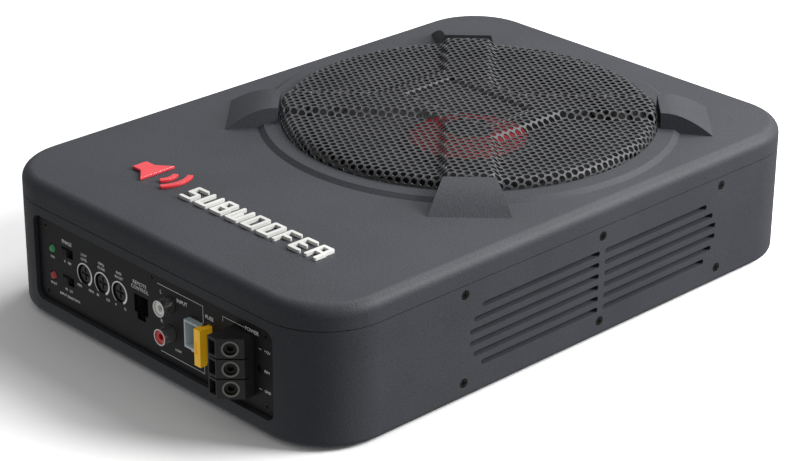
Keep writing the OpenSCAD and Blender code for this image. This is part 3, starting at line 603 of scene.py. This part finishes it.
@dataclass(frozen=True)
class Studio:
    """Camera, lights and floor."""

    azimuth: float = 45.98
    elevation: float = 24.78
    roll: float = 0.415
    distance: float = 1.2933
    slide_right: float = -4.35 * MM
    slide_up: float = 19.17 * MM
    lens: float = 110.9
    sensor: float = 36.0
    near: float = 0.05
    floor_size: float = 12.0
    floor_grey: float = 0.9
    floor_roughness: float = 0.9
    sky: float = 0.42

    def build(self) -> None:
        """Sets up everything that isn't the object."""
        low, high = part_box("lower_shell")
        foot = Vector(((low.x + high.x) / 2, (low.y + high.y) / 2, low.z))
        self.place_camera(foot)
        self.lay_floor()
        self.light_sky()
        for light in (
            SoftLight("key", (1.0, 0.8, 0.8), 0.7, 40.0),
            SoftLight("back", (-0.1, 1.0, 1.3), 1.1, 24.0),
        ):
            light.build(foot)
        LOG.info("studio ready")

    def place_camera(self, foot: Vector) -> None:
        """Stands the camera on its arc round the middle of the case's underside."""
        a, e, r = (math.radians(v) for v in (self.azimuth, self.elevation, self.roll))
        back = Vector((math.sin(a) * math.cos(e), -math.cos(a) * math.cos(e), math.sin(e)))
        level = Vector((math.cos(a), math.sin(a), 0.0))
        rise = back.cross(level)
        right = math.cos(r) * level + math.sin(r) * rise
        up = math.cos(r) * rise - math.sin(r) * level
        place = foot + self.slide_right * right + self.slide_up * up + self.distance * back
        data = bpy.data.cameras.new("camera")
        data.lens = self.lens
        data.sensor_width = self.sensor
        data.clip_start = self.near
        camera = bpy.data.objects.new("camera", data)
        turn = Matrix((right, up, back)).transposed().to_4x4()
        camera.matrix_world = Matrix.Translation(place) @ turn
        bpy.context.scene.collection.objects.link(camera)
        bpy.context.scene.camera = camera

    def lay_floor(self) -> None:
        """Lays a plain pale floor under the feet."""
        bpy.ops.object.select_all(action="DESELECT")
        bpy.ops.mesh.primitive_plane_add(size=self.floor_size)
        floor = Bench.named("floor")
        tree = Tree("floor")
        tree.set(Base_Color=(self.floor_grey,) * 3, Roughness=self.floor_roughness)
        floor.data.materials.append(tree.material)
        floor.visible_diffuse = floor.visible_glossy = False

    def light_sky(self) -> None:
        """Surrounds the object with even, pale light."""
        world = bpy.data.worlds.new("sky")
        world.use_nodes = True
        background = world.node_tree.nodes["Background"]
        background.inputs["Color"].default_value = (1.0, 1.0, 1.0, 1.0)
        background.inputs["Strength"].default_value = self.sky
        bpy.context.scene.world = world
        bpy.context.scene.view_settings.view_transform = "Standard"


# ---- grille --------------------------------------------------------------------------------


@dataclass
class PerforatedGrille(Assembly):
    """Round grille pressed from sheet with staggered holes, a raised cross and a raised hub."""

    pitch: float = 4.2 * MM
    hole_radius: float = 1.72 * MM
    hole_sides: int = 12
    tile_sides: int = 6
    tile_weld: float = 0.01 * MM
    top_gap: float = 0.02 * MM
    sheet: float = 0.6 * MM
    cross_rise: float = 3.0 * MM
    arm_width: float = 21.5 * MM
    arm_slope: float = 5.0 * MM
    hub_size: tuple[float, float] = (81.0 * MM, 51.0 * MM)
    hub_slope: float = 4.0 * MM
    dent_size: tuple[float, float] = (59.0 * MM, 32.0 * MM)
    dent_depth: float = 1.2 * MM
    dent_slope: float = 1.5 * MM
    bend: float = 5.0 * MM
    skirt: float = 7.0 * MM

    def __post_init__(self) -> None:
        """Takes the grille's axis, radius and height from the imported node."""
        low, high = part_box("speaker_grille")
        self.centre = (low + high) / 2
        self.radius = (high.x - low.x) / 2 - CLEARANCE
        self.top = high.z - self.top_gap

    def build(self) -> bpy.types.Object:
        """Punches the flat sheet, presses it to shape and gives it its thickness."""
        piece = self.punched_sheet()
        self.press(piece)
        Bench.apply(piece, "SOLIDIFY", thickness=self.sheet, offset=-1.0, use_even_offset=False)
        Bench.smooth(piece, 40.0)
        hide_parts("speaker_grille")
        return self.keep(piece, "grille")

    def cell(self) -> bpy.types.Object:
        """One six-sided tile of sheet with its hole, made by bridging two rings."""
        bpy.ops.object.select_all(action="DESELECT")
        bpy.ops.mesh.primitive_circle_add(vertices=self.hole_sides, radius=self.hole_radius)
        hole = bpy.context.active_object
        bpy.ops.object.select_all(action="DESELECT")
        bpy.ops.mesh.primitive_circle_add(vertices=self.tile_sides, radius=self.pitch / math.sqrt(3.0),
                                          rotation=(0.0, 0.0, math.pi / self.tile_sides))
        rim = bpy.context.active_object
        tile = Bench.joined([hole, rim], "speaker_grille_sheet")
        Bench.settle(tile)
        bpy.ops.object.mode_set(mode="EDIT")
        bpy.ops.mesh.select_all(action="SELECT")
        bpy.ops.mesh.bridge_edge_loops()
        bpy.ops.mesh.normals_make_consistent(inside=False)
        bpy.ops.object.mode_set(mode="OBJECT")
        if tile.data.polygons[0].normal.z < 0:
            tile.data.flip_normals()
        return tile

    def punched_sheet(self) -> bpy.types.Object:
        """The flat round blank: tiles in staggered columns, kept inside the blank's radius."""
        piece = self.cell()
        column = self.pitch * math.sqrt(3.0) / 2
        blank = self.radius - self.bend + math.pi / 2 * self.bend + self.skirt
        across = math.ceil(blank / column / 2)
        along = math.ceil(blank / self.pitch)
        Bench.apply(piece, "ARRAY", count=2, use_relative_offset=False, use_constant_offset=True,
                    constant_offset_displace=(column, self.pitch / 2, 0.0))
        Bench.apply(piece, "ARRAY", count=2 * across + 1, use_relative_offset=False,
                    use_constant_offset=True, constant_offset_displace=(2 * column, 0.0, 0.0))
        Bench.apply(piece, "ARRAY", count=2 * along + 1, use_relative_offset=False,
                    use_constant_offset=True, constant_offset_displace=(0.0, self.pitch, 0.0))
        piece.location = (-2 * column * across, -self.pitch * along, 0.0)
        Bench.settle(piece)
        self.trim(piece, blank - self.pitch / 2)
        return piece

    def trim(self, piece: bpy.types.Object, reach: float) -> None:
        """Drops every tile whose middle lies outside the reach, and welds the rest."""
        mesh = bmesh.new()
        mesh.from_mesh(piece.data)
        islands = self.tiles(mesh)
        outside = [vert for tile in islands for vert in tile if self.middle(tile).length > reach]
        bmesh.ops.delete(mesh, geom=outside, context="VERTS")
        bmesh.ops.remove_doubles(mesh, verts=mesh.verts, dist=self.tile_weld)
        mesh.to_mesh(piece.data)
        mesh.free()

    def tiles(self, mesh: bmesh.types.BMesh) -> list[list[bmesh.types.BMVert]]:
        """The vertices of each tile, which the arrays leave in order."""
        mesh.verts.ensure_lookup_table()
        size = self.hole_sides + self.tile_sides
        return [mesh.verts[i:i + size] for i in range(0, len(mesh.verts), size)]

    @staticmethod
    def middle(tile: list[bmesh.types.BMVert]) -> Vector:
        """The middle of a tile."""
        return sum((vert.co for vert in tile), Vector()) / len(tile)

    @staticmethod
    def ramp(distance: np.ndarray, slope: float) -> np.ndarray:
        """1 inside an edge, 0 beyond its slope, with softly rounded shoulders between."""
        t = np.clip(1.0 - distance / slope, 0.0, 1.0)
        return t * t * (3.0 - 2.0 * t)

    def relief(self, x: np.ndarray, y: np.ndarray) -> np.ndarray:
        """How far the pressed form stands over the four low fields."""
        half = self.arm_width / 2
        arms = np.maximum(self.ramp(np.abs(x - y) / math.sqrt(2.0) - half, self.arm_slope),
                          self.ramp(np.abs(x + y) / math.sqrt(2.0) - half, self.arm_slope))
        hub = self.panel(x, y, self.hub_size, self.hub_slope)
        dent = self.panel(x, y, self.dent_size, self.dent_slope)
        return self.cross_rise * np.maximum(arms, hub) - self.dent_depth * dent

    def panel(self, x: np.ndarray, y: np.ndarray, size: tuple[float, float], slope: float) -> np.ndarray:
        """A rectangle's share: 1 inside, falling to 0 over its slope."""
        return self.ramp(np.maximum(np.abs(x) - size[0] / 2, np.abs(y) - size[1] / 2), slope)

    def press(self, piece: bpy.types.Object) -> None:
        """Moves the blank's points to the pressed form: cross, hub, rounded rim and skirt."""
        count = len(piece.data.vertices)
        flat = np.zeros(count * 3)
        piece.data.vertices.foreach_get("co", flat)
        flat = flat.reshape(-1, 3)
        run = np.maximum(np.hypot(flat[:, 0], flat[:, 1]), 1e-9)
        shoulder = self.radius - self.bend
        arc = math.pi / 2 * self.bend
        angle = np.clip((run - shoulder) / self.bend, 0.0, math.pi / 2)
        radial = np.where(run < shoulder, run, shoulder + self.bend * np.sin(angle))
        drop = self.bend * (1 - np.cos(angle)) + np.maximum(run - shoulder - arc, 0.0)
        inner = np.minimum(run, self.radius) / run
        lift = self.relief(flat[:, 0] * inner, flat[:, 1] * inner)
        made = np.empty_like(flat)
        made[:, 0] = self.centre.x + flat[:, 0] * radial / run
        made[:, 1] = self.centre.y + flat[:, 1] * radial / run
        made[:, 2] = self.top - self.cross_rise + lift - drop
        piece.data.vertices.foreach_set("co", made.ravel())
        piece.data.update()


# ---- case ----------------------------------------------------------------------------------


@dataclass
class Case(Assembly):
    """Cover, lower case, badge and feet."""

    cast_edge: float = 0.7 * MM
    slot_edge: float = 0.35 * MM
    badge_edge: float = 0.4 * MM

    def build(self) -> None:
        """Rounds every sharp edge of the castings, the badge and the feet."""
        self.soften("top_cover", self.cast_edge, 12.0)
        self.soften("lower_shell", self.slot_edge)
        self.soften("badge_emblem", self.badge_edge)
        self.soften("badge_letters", self.badge_edge)
        self.soften("rubber_feet", self.slot_edge)


# ---- driver --------------------------------------------------------------------------------


@dataclass
class Suspension(Assembly):
    """The driver's two flexible rings, which stretch between the basket and the cone."""

    wall: float = 0.8 * MM
    steps: int = 96
    arc_points: int = 14
    cone_lap: float = 3.5 * MM
    cone_gap: float = 0.9 * MM
    basket_flange: float = 11.7 * MM
    glue: float = 0.1 * MM
    folds: int = 9
    fold_points: int = 8
    fold_share: float = 0.5
    coil_gap: float = 0.2 * MM
    spider_flange: float = 6.5 * MM

    def build(self) -> None:
        """Turns the rubber surround and the corrugated spider."""
        self.build_surround()
        self.build_spider()

    def build_surround(self) -> None:
        """A half roll between two flat flanges."""
        low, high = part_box("surround")
        axis = (low + high) / 2
        outer = (high.x - low.x) / 2 - CLEARANCE
        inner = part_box("cone")[1].x - axis.x - self.cone_lap
        roll_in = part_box("cone")[1].x - axis.x + self.cone_gap
        roll_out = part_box("driver_basket")[1].x - axis.x - self.basket_flange
        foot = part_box("driver_basket")[1].z + self.glue
        middle, radius = (roll_in + roll_out) / 2, (roll_out - roll_in) / 2
        crown = [(middle - radius * math.cos(t), foot + radius * math.sin(t))
                 for t in np.linspace(0.0, math.pi, self.arc_points)]
        line = [(inner, foot), *crown, (outer, foot)]
        piece = Bench.turned("surround_roll", self.thick(line), axis, self.steps)
        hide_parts("surround")
        self.stretch(piece, axis, roll_out, roll_in)
        self.finish_ring(piece, "rubber")

    def build_spider(self) -> None:
        """Even corrugations from the coil to the basket's ledge."""
        low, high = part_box("spider")
        axis = (low + high) / 2
        outer = (high.x - low.x) / 2 - CLEARANCE
        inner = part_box("voice_coil")[1].x - axis.x + self.coil_gap
        edge = outer - self.spider_flange
        height = self.fold_share * ((high.z - low.z) / 2 - self.wall / 2)
        count = self.folds * self.fold_points
        line = []
        for i in range(count + 1):
            radius = inner + (edge - inner) * i / count
            line.append((radius, axis.z + height * math.sin(math.tau * self.folds * i / count)))
        line.append((outer, axis.z))
        piece = Bench.turned("spider_disc", self.thick(line, self.wall / 2), axis, self.steps)
        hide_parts("spider")
        self.stretch(piece, axis, edge, inner)
        self.finish_ring(piece, "spider")

    def thick(self, line: list[tuple[float, float]], wall: float | None = None) -> list[tuple[float, float]]:
        """A closed profile: the line, and back along it one wall higher."""
        rise = wall or self.wall
        return line + [(radius, z + rise) for radius, z in reversed(line)]

    def stretch(self, piece: bpy.types.Object, axis: Vector, fixed: float, moving: float) -> None:
        """Puts the ring's place, turn and scale into its mesh."""
        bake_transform(piece)

    def finish_ring(self, piece: bpy.types.Object, slot: str) -> None:
        """Shades a ring smooth and dresses it."""
        Bench.smooth(piece, 45.0)
        self.paint.dress(piece, slot)
        LOG.info("%s: %d faces", piece.name, len(piece.data.polygons))


# ---- control panel -------------------------------------------------------------------------


@dataclass
class PanelParts(Assembly):
    """Everything moulded that stands in the control panel."""

    def build(self) -> None:
        """Rounds the edges of each moulding by what its size allows."""
        for node, width in (
            ("control_panel", 0.15 * MM), ("terminal_block", 0.3 * MM), ("fuse_body", 0.5 * MM),
            ("input_header", 0.2 * MM), ("remote_port", 0.15 * MM), ("rca_shells", 0.15 * MM),
            ("rca_insulator_white", 0.2 * MM), ("rca_insulator_red", 0.2 * MM),
            ("level_knob", 0.25 * MM), ("filter_knob", 0.25 * MM), ("bass_knob", 0.25 * MM),
            ("phase_slider", 0.2 * MM), ("input_slider", 0.2 * MM), ("terminal_clamps", 0.3 * MM),
        ):
            self.soften(node, width)


class Align(Enum):
    """Which end of a label stays at its place."""

    LEFT = "LEFT"
    CENTRE = "CENTER"
    RIGHT = "RIGHT"


@dataclass
class PanelPrint(Assembly):
    """Plain white legends on the control panel, each placed by the part that it names."""

    ink: float = 0.05 * MM
    line: float = 0.35 * MM
    small: float = 1.35 * MM
    medium: float = 1.9 * MM
    arc_radius: float = 6.0 * MM
    arc_sides: int = 72
    arc_open: float = 62.0
    arc_thin: float = 0.25 * MM
    arc_swell: float = 0.95 * MM
    caps: float = 0.69
    proud: float = 0.2

    def build(self) -> None:
        """Prints every legend and joins them into one piece."""
        self.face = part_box("control_panel")[0].y
        self.marks: list[bpy.types.Object] = []
        self.print_lamps_and_switches()
        self.print_knobs()
        self.print_inputs()
        self.print_power()
        piece = Bench.joined(self.marks, "panel_print")
        self.keep(piece, "white_print")

    @staticmethod
    def spot(node: str) -> Vector:
        """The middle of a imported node."""
        low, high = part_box(node)
        return (low + high) / 2

    def print_lamps_and_switches(self) -> None:
        """Names the two lamps and the two slide switches."""
        for node, word in (("power_led", "ON"), ("protect_led", "PROT")):
            place = self.spot(node)
            self.label(word, place.x, place.z - 4.4 * MM, self.small)
        for node, above, below in (("phase_slider", "PHASE", "0   180"), ("input_slider", "", "HI   LO")):
            place = self.spot(node)
            middle = place.x + 1.5 * MM
            self.label(above, middle, place.z + 5.4 * MM, self.medium)
            self.label(below, middle, place.z - 5.2 * MM, self.small)
        lowest = self.spot("input_slider")
        self.label("INPUT SENSITIVITY", lowest.x + 2 * MM, lowest.z - 9.0 * MM, self.small)

    def print_knobs(self) -> None:
        """Draws each knob's scale, its name over it and its two ends under it."""
        for node, first, second, least, most in (
            ("level_knob", "LOW", "LEVEL", "MIN", "MAX"),
            ("filter_knob", "FREQ", "FILTER", "50", "150"),
            ("bass_knob", "BASS", "BOOST", "0", "12"),
        ):
            place = self.spot(node)
            self.scale(place.x, place.z)
            self.label(first, place.x, place.z + 10.4 * MM, self.small)
            self.label(second, place.x, place.z + 8.0 * MM, self.small)
            self.label(least, place.x - 2.8 * MM, place.z - 7.4 * MM, self.small, Align.RIGHT)
            self.label(most, place.x + 2.8 * MM, place.z - 7.4 * MM, self.small, Align.LEFT)

    def print_inputs(self) -> None:
        """Names the sockets and brackets the jacks with the plug."""
        port, header = self.spot("remote_port"), self.spot("input_header")
        white, red = self.spot("rca_insulator_white"), self.spot("rca_insulator_red")
        self.label("REMOTE", port.x - 0.6 * MM, port.z + 12.0 * MM, self.medium)
        self.label("CONTROL", port.x - 0.6 * MM, port.z + 9.4 * MM, self.medium)
        self.label("L", white.x - 6.6 * MM, white.z + 4.4 * MM, self.medium)
        self.label("R", red.x - 6.6 * MM, red.z + 4.0 * MM, self.medium)
        self.label("INPUT", header.x - 10.0 * MM, header.z + 13.4 * MM, self.medium)
        self.label("LOW", red.x + 5.4 * MM, red.z - 7.6 * MM, self.small)
        right, top, bottom = header.x + 5.4 * MM, header.z + 17.4 * MM, header.z - 18.0 * MM
        self.stroke([(white.x - 9.0 * MM, top), (right, top), (right, header.z + 8.6 * MM)])
        self.stroke([(red.x - 8.0 * MM, bottom), (right, bottom), (right, header.z - 8.6 * MM)])

    def print_power(self) -> None:
        """Names the fuse and the three power terminals."""
        fuse, block = self.spot("fuse_body"), self.spot("terminal_block")
        self.label("FUSE", fuse.x + 0.8 * MM, fuse.z + 13.4 * MM, self.medium)
        left, top = block.x - 14.0 * MM, block.z + 17.3 * MM
        self.stroke([(left, top - 2.4 * MM), (left, top), (block.x + 1.0 * MM, top)])
        self.label("POWER", block.x + 6.4 * MM, top, self.medium)
        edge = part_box("terminal_block")[1].x + 7.2 * MM
        for number, word in enumerate(("+12V", "REM", "GND"), start=1):
            height = self.spot(f"terminal_screw_{number}").z
            self.label(word, edge, height, self.small, Align.LEFT)
            if number != 2:
                self.stroke([(edge - 3.6 * MM, height), (edge - 2.0 * MM, height)])

    def label(self, words: str, x: float, z: float, height: float, align: Align = Align.CENTRE) -> None:
        """Prints words whose capitals have the given height."""
        if not words:
            return
        bpy.ops.object.select_all(action="DESELECT")
        bpy.ops.object.text_add()
        text = bpy.context.active_object
        text.data.body = words
        text.data.size = height / self.caps
        text.data.align_x = align.value
        text.data.align_y = "CENTER"
        text.data.extrude = self.ink
        text.data.resolution_u = 2
        bpy.ops.object.convert(target="MESH")
        self.stand(bpy.context.active_object, x, z)

    def stroke(self, points: list[tuple[float, float]]) -> None:
        """Prints a thin line through points of the panel."""
        curve = bpy.data.curves.new("stroke", "CURVE")
        spline = curve.splines.new("POLY")
        spline.points.add(len(points) - 1)
        for point, (x, z) in zip(spline.points, points):
            point.co = (x, z, 0.0, 1.0)
        curve.dimensions = "3D"
        curve.bevel_depth = self.line / 2
        curve.bevel_resolution = 0
        curve.use_fill_caps = True
        line = bpy.data.objects.new("stroke", curve)
        bpy.context.scene.collection.objects.link(line)
        Bench.pick(line)
        bpy.ops.object.convert(target="MESH")
        line = bpy.context.active_object
        line.scale = (1.0, 1.0, 2 * self.ink / self.line)
        Bench.settle(line)
        self.stand(line, 0.0, 0.0)

    def scale(self, x: float, z: float) -> None:
        """Prints a knob's scale: an open ring that thickens towards its full end."""
        bpy.ops.object.select_all(action="DESELECT")
        bpy.ops.mesh.primitive_circle_add(vertices=self.arc_sides, radius=self.arc_radius)
        ring = bpy.context.active_object
        bpy.ops.object.mode_set(mode="EDIT")
        bpy.ops.mesh.select_all(action="SELECT")
        bpy.ops.mesh.extrude_edges_move()
        bpy.ops.object.mode_set(mode="OBJECT")
        half = math.radians(360.0 - self.arc_open) / 2
        for vert in ring.data.vertices:
            turn = math.atan2(vert.co.x, vert.co.y)
            share = (turn + half) / (2 * half)
            if vert.index >= self.arc_sides:
                vert.co *= 1.0 - (self.arc_thin + self.arc_swell * share) / self.arc_radius
        mesh = bmesh.new()
        mesh.from_mesh(ring.data)
        gap = [face for face in mesh.faces if self.turn_of(face) > half]
        bmesh.ops.delete(mesh, geom=gap, context="FACES")
        mesh.to_mesh(ring.data)
        mesh.free()
        Bench.apply(ring, "SOLIDIFY", thickness=2 * self.ink, offset=0.0)
        self.stand(ring, x, z)

    @staticmethod
    def turn_of(face: bmesh.types.BMFace) -> float:
        """How far a face lies from the top of a ring, in radians either way."""
        middle = face.calc_center_median()
        return abs(math.atan2(middle.x, middle.y))

    def stand(self, mark: bpy.types.Object, x: float, z: float) -> None:
        """Stands a flat mark upright on the panel's face."""
        mark.rotation_euler = (math.pi / 2, 0.0, 0.0)
        mark.location = (x, self.face - self.proud * self.ink, z)
        Bench.settle(mark)
        self.marks.append(mark)


# ---- main ----------------------------------------------------------------------------------


def main() -> None:
    """Builds the studio and every piece, in order."""
    logging.basicConfig(level=logging.INFO, format="%(name)s: %(message)s")
    paint = Paintbox()
    Studio().build()
    paint.dress_nodes()
    Case(paint).build()
    PerforatedGrille(paint).build()
    Suspension(paint).build()
    PanelParts(paint).build()
    PanelPrint(paint).build()


if __name__ == "__main__":
    main()
